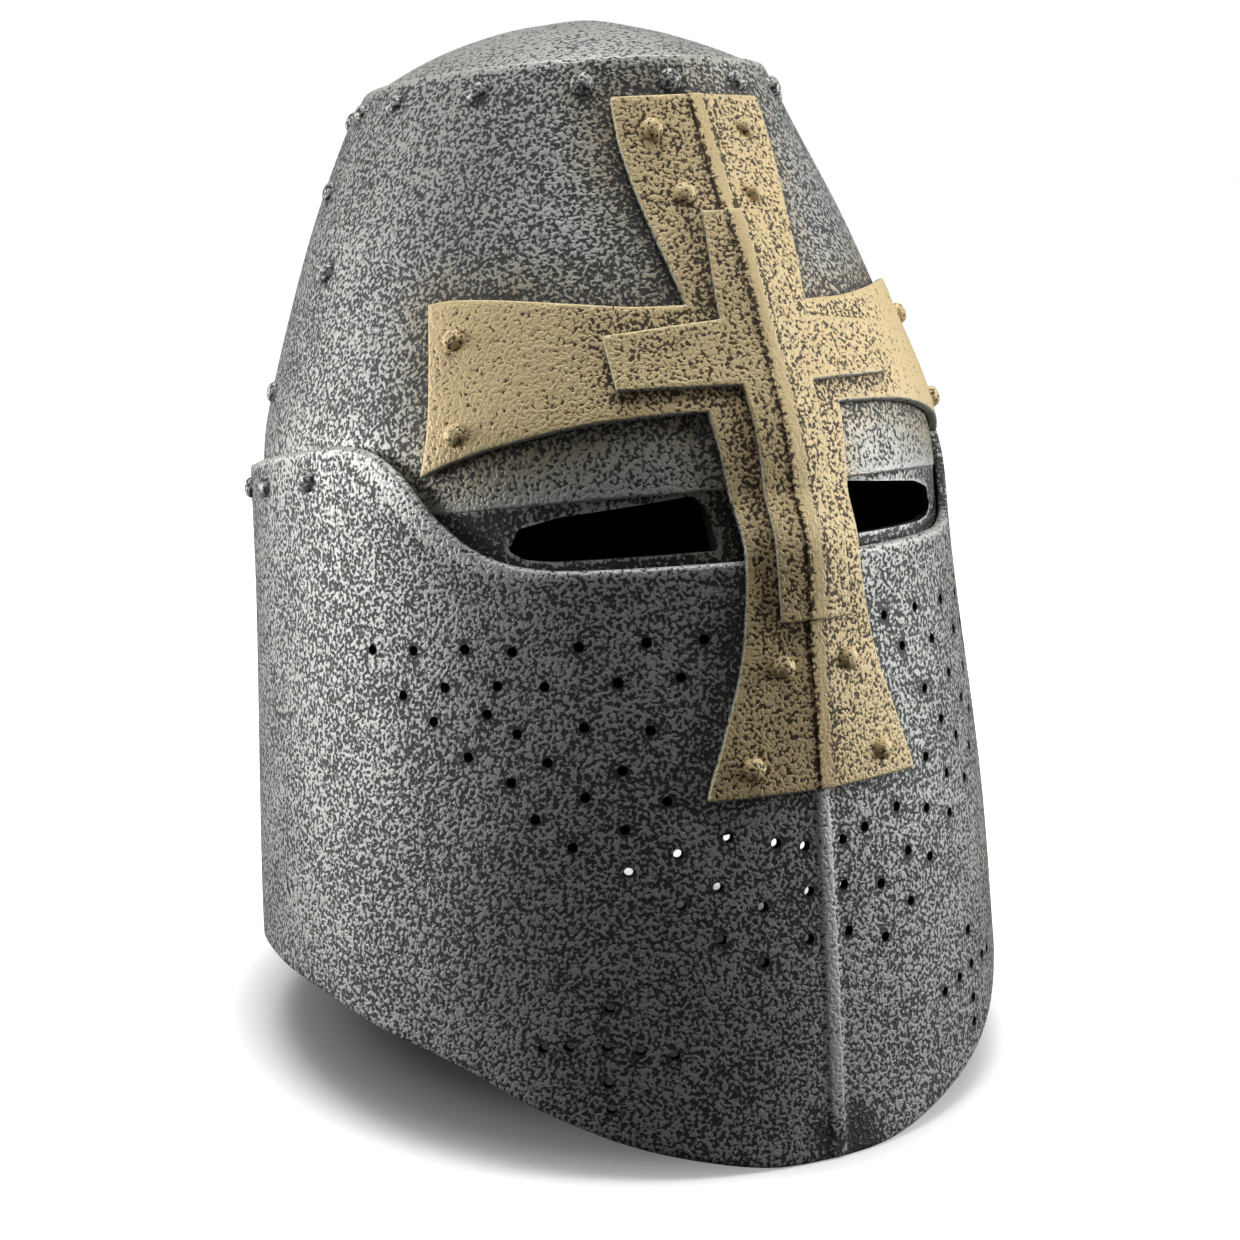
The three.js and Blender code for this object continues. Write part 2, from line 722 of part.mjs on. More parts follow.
const outerCross = crossMesh({
  name: "cross_outer",
  upright: OUTER_UPRIGHT,
  arm: OUTER_ARM,
  low: CROSS_GAP,
  high: OUTER_CROSS_TOP,
  columns: 6,
  middleRows: 4,
  rowsBelow: 13,
  rowsAbove: 7,
  armColumns: 8,
});

const innerCross = crossMesh({
  name: "cross_inner",
  upright: INNER_UPRIGHT,
  arm: INNER_ARM,
  low: OUTER_CROSS_TOP + CROSS_GAP,
  high: INNER_CROSS_TOP,
  columns: 4,
  middleRows: 2,
  rowsBelow: 7,
  rowsAbove: 4,
  armColumns: 4,
});

// The helm leans back onto its rim. Its standing plane becomes z = 0, and the origin lies on it under
// the middle of the helm.
const helm = new THREE.Group();
helm.add(facePlate(), skull(), crownCap(), outerCross, innerCross, ...wallRivets(), ...crossRivets());
helm.rotation.x = -THREE.MathUtils.degToRad(LEAN_DEG);
helm.position.z = -FLOOR_AT_RIDGE * Math.cos(THREE.MathUtils.degToRad(LEAN_DEG));
const extent = new THREE.Box3().setFromObject(helm, true);
helm.position.y = -(extent.min.y + extent.max.y) / 2;

const part = new THREE.Group();
part.add(helm);

export default part;
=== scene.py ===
import math

import bpy
import numpy as np
from mathutils import Matrix, Vector


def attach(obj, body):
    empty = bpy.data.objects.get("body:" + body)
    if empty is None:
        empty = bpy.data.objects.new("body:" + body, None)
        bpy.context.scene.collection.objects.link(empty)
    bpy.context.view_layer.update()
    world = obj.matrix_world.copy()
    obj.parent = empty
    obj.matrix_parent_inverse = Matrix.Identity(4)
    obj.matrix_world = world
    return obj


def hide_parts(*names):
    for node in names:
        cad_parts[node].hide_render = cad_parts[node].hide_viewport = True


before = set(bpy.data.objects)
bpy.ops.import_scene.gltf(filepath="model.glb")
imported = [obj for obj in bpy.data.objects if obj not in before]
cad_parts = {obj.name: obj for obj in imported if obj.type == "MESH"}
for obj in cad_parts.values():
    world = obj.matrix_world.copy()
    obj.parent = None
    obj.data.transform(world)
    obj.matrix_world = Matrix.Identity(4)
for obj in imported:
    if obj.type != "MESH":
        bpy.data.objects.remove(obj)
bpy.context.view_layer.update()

# Helm axes: millimetres, x to the wearer's left, y to the back, z up along the front ridge.
LEAN = math.radians(6.9)
LIFT = 12.2 * math.cos(LEAN)
SET_BACK = -128.157
MM = 0.001

PLATE_WALL = 2.8
SKULL_WALL = 3.2
GROOVE_DEPTH = 5.6
GROOVE_END_DEPTH = 0.3
GROOVE_FADE = (12, 54)
FLOOR_UNDER_EDGE = 1.2
FLANGE_FOOT = 144
FLANGE_WALL = 3
BROW_LIP = 0.9
CROWN_EDGE = 292
LIP_WIDTH = 1.6
CAP_SEAT = 289.4
SEAT_WIDTH = 3.4
SEAT_HEIGHT = 3
CAP_RIM = 291.4
CAP_WALL = 3
DOME_RISE = 17.6
DOME_CREASE = 0.9
CREASE_HALF_WIDTH = 9
CROSS_GAP = 0.5
OUTER_TOP = 3.2
INNER_TOP = 5.6
CREST_HALF = 1.9
CREST_RISE = 0.45
# Half width of the helm where the crest strip runs, which turns its width into an angle.
CREST_RADIUS = 109
AXIS_Y = 122

EYE_CUT_FRONT = -20
EYE_CUT_BACK = 75
BREATH_RADIUS = 1.25
BREATH_FLARE = 0.35
RIVET_RADIUS = 3.2
CROSS_RIVET_RADIUS = 3.1
RIVET_HEIGHT = 2.1

# The photograph's camera: focal length and picture width, both in its pixels.
FOCAL_PIXELS = 2300
PHOTO_PIXELS = 1240
# Height of the floor, just under the rim, in metres.
FLOOR_LEVEL = -0.0002

# Rows are z, half width, and y of the front, the widest point and the back.
PLATE = np.array([
    (-20, 115.8, 0, 115.8, 232),
    (16, 114.2, 0, 115.2, 233),
    (48, 112.5, 0, 115.6, 234),
    (80, 110.2, 0, 117, 235),
    (112, 107.5, 0.8, 119.2, 236),
    (144, 104.8, 2.2, 122, 236.5),
    (190, 101.4, 4.4, 125.6, 236),
])
SKULL = np.array([
    (140, 101.6, 5.6, 122, 233),
    (164, 99.8, 7.2, 124.2, 232.8),
    (189, 97.5, 11.4, 125.2, 231.4),
    (208, 92.6, 18.8, 125.6, 227.6),
    (232, 84.6, 28.2, 126.6, 220.6),
    (256, 75.6, 39.4, 127.6, 212.4),
    (280, 64.6, 50, 127.8, 202.6),
    (292, 57.8, 54.4, 127.2, 196),
])
HALF, FRONT, MIDDLE, BACK = 1, 2, 3, 4

# Rows are z, keel height and fullness of the front's oval.
FORM = np.array([
    (-20, 0, 2),
    (40, 0.4, 2),
    (95, 1.8, 2.03),
    (130, 3, 2.04),
    (160, 3, 2.06),
    (175, 3, 2.14),
    (192, 3, 2.15),
    (220, 4, 2.14),
    (255, 4.2, 2.12),
    (275, 2.4, 2.06),
    (292, 0.6, 2),
])
KEEL_WIDTH = 32

# Rows are turn round the oval in degrees and z.
RIM = np.array([
    (0, -13), (10, -11.6), (20, -6.9), (31, 0), (41, 8.6), (53, 19.8), (66, 27.6), (80, 34.4),
    (92, 36.9), (109, 37.8), (125, 34.5), (142, 26.5), (157, 16.5), (168, 13), (180, 12.6),
])
PLATE_EDGE = np.array([
    (0, 154.3), (36, 154.9), (42, 156.2), (46.4, 158.5), (49.4, 161), (52.5, 164.9), (55.7, 169.6),
    (58.8, 175.4), (61.3, 180.6), (64.3, 184.8), (67.3, 187.6), (72, 189.2), (77, 189),
    (85.3, 187.4), (97, 185), (110, 182.4), (145, 180.4), (180, 180),
])
BROW = np.array([(0, 173.4), (28, 172.8), (46, 171.4), (57, 170.1), (180, 170.1)])

# Eye hole of the wearer's left, as x and z.
EYE_HOLE = [
    (18.8, 156.8), (60, 156.8), (66, 157.7), (69.2, 160.2), (66.8, 166), (57.8, 168.7), (23.8, 172),
    (20.4, 166.6),
]

# Rows are z and half width of an upright, and along, low x, low z, high x, high z of an arm.
OUTER_UPRIGHT = np.array([
    (91.7, 32.5), (95, 31.8), (103, 28.8), (112, 25.6), (121, 22.4), (130, 20), (137.6, 18.8),
    (146, 17.8), (154, 17.3), (164, 17.5), (174, 18.3), (184, 19.2), (193.2, 20.2), (221.6, 18.5),
    (232, 19.9), (242, 21.4), (253, 22.6), (266, 23.4), (279.4, 22.6),
])
OUTER_ARM = np.array([
    (0, 20.2, 193.2, 18.5, 221.6),
    (0.25, 35.6, 192.8, 33, 222),
    (0.5, 52, 191.4, 47, 223.8),
    (0.75, 69, 187.4, 60.5, 225.8),
    (0.9, 78, 183.6, 68.8, 226.5),
    (1, 83.4, 180, 73, 225.8),
])
INNER_UPRIGHT = np.array([
    (137.4, 9.8), (154, 9.8), (168, 9.7), (182, 9.4), (198.6, 10.1), (216.5, 11.1), (245.5, 7.8),
])
INNER_ARM = np.array([(0, 10.1, 198.6, 11.1, 216.5), (1, 41.6, 199, 41.2, 213.8)])

BREATH_HOLES = [
    (97, 133.7), (93.5, 121.7), (89, 115), (83.7, 105.7), (76.1, 99), (72, 89.1), (64.8, 81.5),
    (52.8, 74.3), (40.8, 64.4), (31, 53.9), (19.9, 46.2), (90.7, 134), (86.2, 124.3), (79.1, 117.3),
    (73.8, 112), (68.2, 104.3), (61, 94.8), (52.8, 85.7), (40.6, 78.3), (31, 68.3), (19.2, 61.4),
    (6.4, 50.7), (81.7, 134.6), (76.5, 124.8), (59.6, 113.4), (52.1, 101.5), (42.2, 92.6),
    (27.4, 81.5), (14.4, 78.3), (5.6, 63.8), (72.8, 133.9), (67.1, 124.5), (58.9, 134.7), (51, 124.7),
    (44.6, 111.6), (43.5, 134.9), (35.9, 125.1), (29.1, 134.6), (6.1, 76.4),
    (59.4, 37.8), (60.6, 27.3), (60.9, 17.1), (60.7, 9.9), (44.9, 23.8), (52.9, 25.7), (69, 27.4),
    (74.6, 27),
]
CROWN_TURNS = [-163, -142, -120, -98, -80, -53.5, -27, -4.5, 18.5, 40.5, 63, 86, 109, 132, 154, 176]
CROWN_RIVET_Z = 284.8
SEAM_RIVETS = [(100, 262.2), (88, 238), (105, 204)]
PLATE_RIVETS = [(81, 179.5), (95, 177), (110, 175.2), (127, 173.6), (145, 172.4), (163, 172)]
CROSS_RIVETS = [
    ("top", 14.2, 269.8), ("upper", 10.3, 251.4), ("arm_high", 71, 215.6), ("arm_low", 76, 190.8),
    ("lower", 9.6, 125.6), ("bottom", 20, 99.4),
]


def smooth(table, key, at):
    """One column of a table at places along its first, as a smooth curve through every row."""
    x, y = table[:, 0], table[:, key]
    at = np.asarray(at, float)
    ends = np.clip(np.arange(len(x))[:, None] + (-1, 1), 0, len(x) - 1)
    slope = (y[ends[:, 1]] - y[ends[:, 0]]) / (x[ends[:, 1]] - x[ends[:, 0]])
    row = np.clip(np.searchsorted(x, at) - 1, 0, len(x) - 2)
    span = x[row + 1] - x[row]
    t = np.clip((at - x[row]) / span, 0, 1)
    return (
        y[row] * (2 * t**3 - 3 * t**2 + 1)
        + y[row + 1] * (3 * t**2 - 2 * t**3)
        + slope[row] * span * (t**3 - 2 * t**2 + t)
        + slope[row + 1] * span * (t**3 - t**2)
    )


def outline_y(sections, share, z, is_front):
    across = np.minimum(np.abs(share), 1)
    middle = smooth(sections, MIDDLE, z)
    keel = smooth(FORM, 1, z)
    fullness = smooth(FORM, 2, z)
    crest = np.maximum(0, 1 - across * smooth(sections, HALF, z) / KEEL_WIDTH)
    depth = middle - smooth(sections, FRONT, z) - keel
    front = middle - depth * (1 - across**fullness) ** (1 / fullness) - keel * crest * crest
    back = middle + (smooth(sections, BACK, z) - middle) * np.sqrt(1 - across * across)
    return np.where(is_front, front, back)


def wall(sections, turn, z, out):
    """Points of an outer face at turns and heights, moved out along the oval's level normal."""
    turn, z, out = np.broadcast_arrays(*(np.asarray(v, float) for v in (turn, z, out)))
    angle = np.radians(turn)
    half = smooth(sections, HALF, z)
    is_front = np.cos(angle) > 0
    ends = np.where(is_front, smooth(sections, FRONT, z), smooth(sections, BACK, z))
    depth = np.abs(smooth(sections, MIDDLE, z) - ends)
    y = outline_y(sections, np.sin(angle), z, is_front)
    nx, ny = depth * np.sin(angle), -half * np.cos(angle)
    length = np.hypot(nx, ny)
    return np.stack([half * np.sin(angle) + out * nx / length, y + out * ny / length, z], -1)


def front_point(x, z):
    """Face that the cross lies on: the face plate below the slot, the skull above it."""
    x, z = np.broadcast_arrays(np.asarray(x, float), np.asarray(z, float))
    t = np.clip((z - 156) / 16, 0, 1)
    share = t * t * (3 - 2 * t)
    plate = outline_y(PLATE, x / smooth(PLATE, HALF, z), z, True)
    skull = outline_y(SKULL, x / smooth(SKULL, HALF, z), z, True)
    return np.stack([x, plate + (skull - plate) * share, z], -1)


def groove_depth(turn):
    t = np.clip((np.abs(turn) - GROOVE_FADE[0]) / (GROOVE_FADE[1] - GROOVE_FADE[0]), 0, 1)
    return GROOVE_DEPTH + (GROOVE_END_DEPTH - GROOVE_DEPTH) * t * t * (3 - 2 * t)


def groove_floor(turn):
    """The slot's floor lies just under the plate's edge and closes up to the brow at both ends."""
    turn = np.abs(turn)
    return np.minimum(smooth(PLATE_EDGE, 1, turn), smooth(BROW, 1, turn)) - FLOOR_UNDER_EDGE


def normal_of(point_at, u, v, step=0.5):
    across = point_at(u + step, v) - point_at(u - step, v)
    up = point_at(u, v + step) - point_at(u, v - step)
    normal = np.cross(across, up)
    return normal / np.linalg.norm(normal, axis=-1, keepdims=True)


def front_offset(x, z, out):
    x, z, out = np.broadcast_arrays(*(np.asarray(v, float) for v in (x, z, out)))
    return front_point(x, z) + normal_of(front_point, x, z) * out[..., None]


def place(points):
    """Helm axes to the row frame, in metres."""
    x, y, z = np.moveaxis(np.asarray(points, float), -1, 0)
    back = y * math.cos(LEAN) + z * math.sin(LEAN) + SET_BACK
    up = z * math.cos(LEAN) - y * math.sin(LEAN) + LIFT
    return np.stack([x, back, up], -1) * MM


def unplace(points):
    """Row frame in metres back to helm axes."""
    x, back, up = np.moveaxis(np.asarray(points, float) / MM, -1, 0)
    back, up = back - SET_BACK, up - LIFT
    y = back * math.cos(LEAN) - up * math.sin(LEAN)
    z = back * math.sin(LEAN) + up * math.cos(LEAN)
    return np.stack([x, y, z], -1)


def turned(direction):
    x, y, z = direction
    return Vector((
        x,
        y * math.cos(LEAN) + z * math.sin(LEAN),
        z * math.cos(LEAN) - y * math.sin(LEAN),
    ))


def waves(points, size, seed):
    """Gentle unevenness between -1 and 1 over lengths of about size, in helm axes."""
    rng = np.random.default_rng(seed)
    total = np.zeros(points.shape[:-1])
    for _ in range(9):
        direction = rng.normal(size=3)
        direction *= rng.uniform(0.6, 1.5) / np.linalg.norm(direction)
        total += np.sin(points @ direction * (2 * math.pi / size) + rng.uniform(0, 6.28))
    return total / 4


# Meshes

def make_object(name, points, faces, materials, face_materials=None):
    mesh = bpy.data.meshes.new(name)
    mesh.from_pydata(points.tolist(), [], [list(f) for f in faces])
    for material in materials:
        mesh.materials.append(material)
    if face_materials is not None:
        mesh.polygons.foreach_set("material_index", np.asarray(face_materials, np.int32))
    mesh.update()
    obj = bpy.data.objects.new(name, mesh)
    bpy.context.scene.collection.objects.link(obj)
    return obj


def ring_faces(columns, rows):
    here = np.arange(columns)[:, None] * rows + np.arange(rows)
    ahead = np.roll(here, -1, 0)
    quads = np.stack([here, ahead, np.roll(ahead, -1, 1), np.roll(here, -1, 1)], -1)
    return quads.reshape(-1, 4)


def rounding(radius, start, stop, steps=6):
    """Offsets along and across a wall round an edge, from one angle to another in degrees."""
    angle = np.radians(np.linspace(start, stop, steps))
    return radius * np.sin(angle), radius * np.cos(angle)


def cut(obj, cutter):
    """Takes the cutter's solid out of the object."""
    modifier = obj.modifiers.new("cut", "BOOLEAN")
    modifier.operation = "DIFFERENCE"
    modifier.solver = "MANIFOLD"
    modifier.object = cutter
    graph = bpy.context.evaluated_depsgraph_get()
    mesh = bpy.data.meshes.new_from_object(obj.evaluated_get(graph))
    obj.modifiers.clear()
    obj.data = mesh
    bpy.data.objects.remove(cutter)


def finish_piece(obj, nodes, angle=38):
    obj.data.shade_smooth()
    obj.data.set_sharp_from_angle(angle=math.radians(angle))
    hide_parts(*nodes)
    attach(obj, "root")


def near(points, spots, reach):
    """1 on a spot, falling to 0 at reach away from all of them."""
    best = np.full(len(points), 1e9)
    for start in range(0, len(points), 20000):
        part = points[start:start + 20000]
        gap = np.linalg.norm(part[:, None, :] - spots[None, :, :], axis=2)
        best[start:start + 20000] = gap.min(axis=1)
    return np.clip(1 - best / reach, 0, 1)


def set_attribute(obj, name, values):
    attribute = obj.data.attributes.new(name, "FLOAT", "POINT")
    attribute.data.foreach_set("value", np.asarray(values, np.float32))


def vertices_of(obj):
    co = np.zeros(len(obj.data.vertices) * 3, np.float32)
    obj.data.vertices.foreach_get("co", co)
    return unplace(co.reshape(-1, 3).astype(float))


# Materials

def node(tree, kind, inputs=(), **settings):
    made = tree.nodes.new(kind)
    for name, value in settings.items():
        setattr(made, name, value)
    for socket, value in dict(inputs).items():
        if isinstance(value, bpy.types.NodeSocket):
            tree.links.new(value, made.inputs[socket])
        else:
            made.inputs[socket].default_value = value
    return made


def math_node(tree, operation, a, b=0.0, c=0.0):
    return node(tree, "ShaderNodeMath", {0: a, 1: b, 2: c}, operation=operation).outputs[0]


def mix_colour(tree, share, a, b):
    made = node(tree, "ShaderNodeMix", {0: share, 6: a, 7: b}, data_type="RGBA")
    return made.outputs[2]


def noise(tree, coordinates, scale, detail=0.0, distortion=0.0, roughness=0.5):
    made = node(tree, "ShaderNodeTexNoise", {
        "Vector": coordinates, "Scale": scale, "Detail": detail,
        "Roughness": roughness, "Distortion": distortion,
    })
    return made.outputs["Fac"]


def steps(tree, value, low, high):
    made = node(tree, "ShaderNodeMapRange", {0: value, 1: low, 2: high}, interpolation_type="SMOOTHSTEP")
    return made.outputs[0]


def attribute_of(tree, name):
    return node(tree, "ShaderNodeAttribute", attribute_name=name).outputs["Fac"]


def rgb(red, green, blue):
    """Display colour from 0 to 255 to a linear one."""
    def linear(value):
        value /= 255
        return value / 12.92 if value <= 0.04045 else ((value + 0.055) / 1.055) ** 2.4
    return linear(red), linear(green), linear(blue), 1.0


def hammered(name, light, dark, dust, grain, cover, metal):
    """Paint dry-brushed over the high spots of a dark, wormy cast skin.
    cover is the share of paint; shade_and_wash (mostly painted shade, with some black wash), wear, smooth and
    dust are painted on the vertices."""
    material = bpy.data.materials.new(name)
    material.use_nodes = True
    tree = material.node_tree
    tree.nodes.clear()
    place_at = node(tree, "ShaderNodeTexCoord").outputs["Object"]
    shade_and_wash = attribute_of(tree, "shade_and_wash")
    wear = attribute_of(tree, "wear")
    even = attribute_of(tree, "smooth")
    worm = noise(tree, place_at, grain, 1.2, 0.35, 0.45)
    patch = noise(tree, place_at, 38, 2.0)
    fleck = noise(tree, place_at, 2600, 1.0)
    level = math_node(tree, "MULTIPLY_ADD", patch, -0.14, 0.57 - cover)
    # Painted shade: this attribute thins the light paint where shade falls, and a value below zero paints
    # light.
    level = math_node(tree, "MULTIPLY_ADD", shade_and_wash, 0.2, level)
    level = math_node(tree, "MULTIPLY_ADD", wear, -0.2, level)
    level = math_node(tree, "MULTIPLY_ADD", even, -0.4, level)
    low = math_node(tree, "SUBTRACT", level, 0.08)
    high = math_node(tree, "ADD", level, 0.08)
    paint = steps(tree, worm, low, high)
    shade = math_node(tree, "MULTIPLY_ADD", fleck, 0.5, 0.75)
    lit = mix_colour(tree, wear, light, rgb(*PALE[name]))
    dusted = mix_colour(tree, math_node(tree, "MULTIPLY", attribute_of(tree, "dust"), patch), lit, dust)
    shaded = node(tree, "ShaderNodeMix", {0: 1.0, 6: dusted, 7: shade}, data_type="RGBA",
                  blend_type="MULTIPLY").outputs[2]
    colour = mix_colour(tree, paint, dark, shaded)
    relief = math_node(tree, "MULTIPLY", steps(tree, worm, 0.3, 0.66), math_node(tree, "SUBTRACT", 1.0, even))
    bump = node(tree, "ShaderNodeBump", {"Strength": 0.5, "Distance": 0.0003, "Height": relief})
    fine = node(tree, "ShaderNodeBump", {
        "Strength": 0.25, "Distance": 0.00015, "Height": fleck, "Normal": bump.outputs[0],
    })
    shader = node(tree, "ShaderNodeBsdfPrincipled", {
        "Base Color": colour,
        "Metallic": math_node(tree, "MULTIPLY", paint, metal),
        "Roughness": math_node(tree, "MULTIPLY_ADD", paint, -0.12, 0.62),
        "Normal": fine.outputs[0],
    })
    output = node(tree, "ShaderNodeOutputMaterial")
    tree.links.new(shader.outputs[0], output.inputs[0])
    return material


def lining():
    """Bare black rubber of the inside, faintly mottled."""
    material = bpy.data.materials.new("lining")
    material.use_nodes = True
    tree = material.node_tree
    tree.nodes.clear()
    place_at = node(tree, "ShaderNodeTexCoord").outputs["Object"]
    mottle = noise(tree, place_at, 90, 3.0)
    colour = mix_colour(tree, mottle, (0.006, 0.006, 0.006, 1), (0.016, 0.015, 0.014, 1))
    bump = node(tree, "ShaderNodeBump", {
        "Strength": 0.4, "Distance": 0.0003, "Height": noise(tree, place_at, 420, 1.0),
    })
    shader = node(tree, "ShaderNodeBsdfPrincipled", {
        "Base Color": colour, "Roughness": 0.75, "Normal": bump.outputs[0],
    })
    output = node(tree, "ShaderNodeOutputMaterial")
    tree.links.new(shader.outputs[0], output.inputs[0])
    return material


PALE = {"silver_skin": (214, 217, 212), "gold_skin": (232, 212, 160)}
SILVER = hammered("silver_skin", rgb(190, 193, 188), rgb(62, 62, 60), rgb(190, 166, 120), 900, -0.01, 0.35)
GOLD = hammered("gold_skin", rgb(240, 215, 164), rgb(76, 62, 42), rgb(240, 215, 164), 950, 0.05, 0.15)
LINING = lining()


# The two shells

def cross_outline(upright, arm):
    """Points along the edge of a cross, in x and z, both sides."""
    foot = np.linspace(upright[0, 0], arm[0, 2], 70)
    head = np.linspace(arm[0, 4], upright[-1, 0], 50)
    along = np.linspace(0, 1, 60)
    low = [(smooth(upright, 1, z), z) for z in foot]
    high = [(smooth(upright, 1, z), z) for z in head]
    arm_low = [(smooth(arm, 1, a), smooth(arm, 2, a)) for a in along]
    arm_high = [(smooth(arm, 3, a), smooth(arm, 4, a)) for a in along]
    ends = [(arm[-1, 1] + (arm[-1, 3] - arm[-1, 1]) * t, arm[-1, 2] + (arm[-1, 4] - arm[-1, 2]) * t)
            for t in np.linspace(0, 1, 30)]
    caps = [(upright[0, 1] * t, upright[0, 0]) for t in np.linspace(0, 1, 30)]
    caps += [(upright[-1, 1] * t, upright[-1, 0]) for t in np.linspace(0, 1, 24)]
    half = np.array(low + high + arm_low + arm_high + ends + caps, float)
    return np.vstack([half, half * (-1, 1)])


def spots_on_front(outline, out):
    return front_offset(outline[:, 0], outline[:, 1], out)


OUTER_SPOTS = spots_on_front(cross_outline(OUTER_UPRIGHT, OUTER_ARM), 0)
INNER_SPOTS = spots_on_front(cross_outline(INNER_UPRIGHT, INNER_ARM), OUTER_TOP)


def shell_turns(step):
    """Turns round the oval, with close columns at the sides of the crest strip."""
    crest = [math.degrees(math.asin(v / CREST_RADIUS))
             for v in (CREST_HALF - 0.4, CREST_HALF, CREST_HALF + 0.5)]
    turns = set(np.arange(step * 3, 180, step)) | set(crest)
    return np.array(sorted([-t for t in turns] + [0.0] + list(turns) + [180.0]))


def crest_of(turn):
    share = np.clip((CREST_HALF + 0.35 - np.abs(np.radians(turn)) * CREST_RADIUS) / 0.45, 0, 1)
    return share * (np.abs(turn) < 10)


def face_plate():
    turns = shell_turns(0.75)
    bottom = smooth(RIM, 1, np.abs(turns))
    top = smooth(PLATE_EDGE, 1, np.abs(turns))
    radius = PLATE_WALL / 2
    up, over = rounding(radius, 0, 180, 9)
    down, under = rounding(radius, 180, 360, 9)
    outer_rows, edge_rows, inner_rows = 90, len(up) - 2, 12
    share = np.concatenate([
        np.linspace(0, 1, outer_rows), np.ones(edge_rows), np.linspace(1, 0, inner_rows), np.zeros(edge_rows),
    ])
    rise = np.concatenate([np.zeros(outer_rows), up[1:-1], np.zeros(inner_rows), down[1:-1]])
    inset = np.concatenate([
        np.zeros(outer_rows), over[1:-1] - radius, np.full(inner_rows, -PLATE_WALL), under[1:-1] - radius,
    ])
    z = (bottom + radius)[:, None] + (top - bottom - 2 * radius)[:, None] * share + rise
    out = inset + np.where(inset > -0.01, crest_of(turns)[:, None] * CREST_RISE, 0)
    points = wall(PLATE, turns[:, None], z, out)
    points += waves(points, 46, 3)[..., None] * normalised(points) * 0.28
    points = place(points)
    points[..., 2] = np.maximum(points[..., 2], 0)
    rows = len(share)
    faces = ring_faces(len(turns), rows)
    row = np.tile(np.arange(rows), len(turns))
    first_inside = outer_rows + edge_rows - 1
    inside = (row >= first_inside) & (row <= first_inside + inner_rows + 1)
    return make_object("helm_face_plate", points.reshape(-1, 3), faces, [SILVER, LINING], inside)


def normalised(points):
    """Level direction out from the helm's axis."""
    level = points * (1, 1, 0) - np.array((0, AXIS_Y, 0))
    return level / np.linalg.norm(level, axis=-1, keepdims=True)


def drills(spots, radius, flare):
    """Countersunk drills at spots of the front, as one solid."""
    sides = 16
    angle = np.arange(sides) * 2 * math.pi / sides
    profile = [(-7, radius), (-0.7, radius), (0.25, radius + flare), (5, radius + flare + 0.2)]
    points, faces = [], []
    for x, z in spots:
        base = front_point(x, z)
        normal = normal_of(front_point, x, z)
        side = np.cross(normal, (0, 0, 1))
        side /= np.linalg.norm(side)
        top = np.cross(side, normal)
        first = len(points)
        for depth, size in profile:
            for a in angle:
                points.append(base + normal * depth + (side * math.cos(a) + top * math.sin(a)) * size)
        for level in range(len(profile) - 1):
            for k in range(sides):
                a, b = first + level * sides + k, first + level * sides + (k + 1) % sides
                faces.append((a, a + sides, b + sides, b))
        faces.append([first + k for k in range(sides)])
        faces.append([first + (len(profile) - 1) * sides + k for k in reversed(range(sides))])
    return make_object("drills", place(np.array(points)), faces, [LINING])


def nick():
    """Thin crescent cut in the plate on the wearer's right, as one solid."""
    height, middle_z, stations = 6, 60.6, 13
    mm_per_degree = 2.1
    share = np.linspace(0, 1, stations)
    z = middle_z - (share - 0.5) * height
    half = (0.15 + 0.5 * np.sin(np.pi * share)) / mm_per_degree
    bow = -90.1 + 1.5 * share**2
    corners = [wall(PLATE, bow + side * half, z, out) for out in (0.6, -0.8) for side in (-1, 1)]
    points = np.stack(corners, 1).reshape(-1, 3)
    last = 4 * (stations - 1)
    faces = [(0, 1, 3, 2), (last, last + 2, last + 3, last + 1)]
    for k in range(0, last, 4):
        for a, b in ((0, 2), (2, 3), (3, 1), (1, 0)):
            faces.append((k + a, k + b, k + 4 + b, k + 4 + a))
    return make_object("nick", place(points), faces, [SILVER, LINING], np.ones(len(faces)))


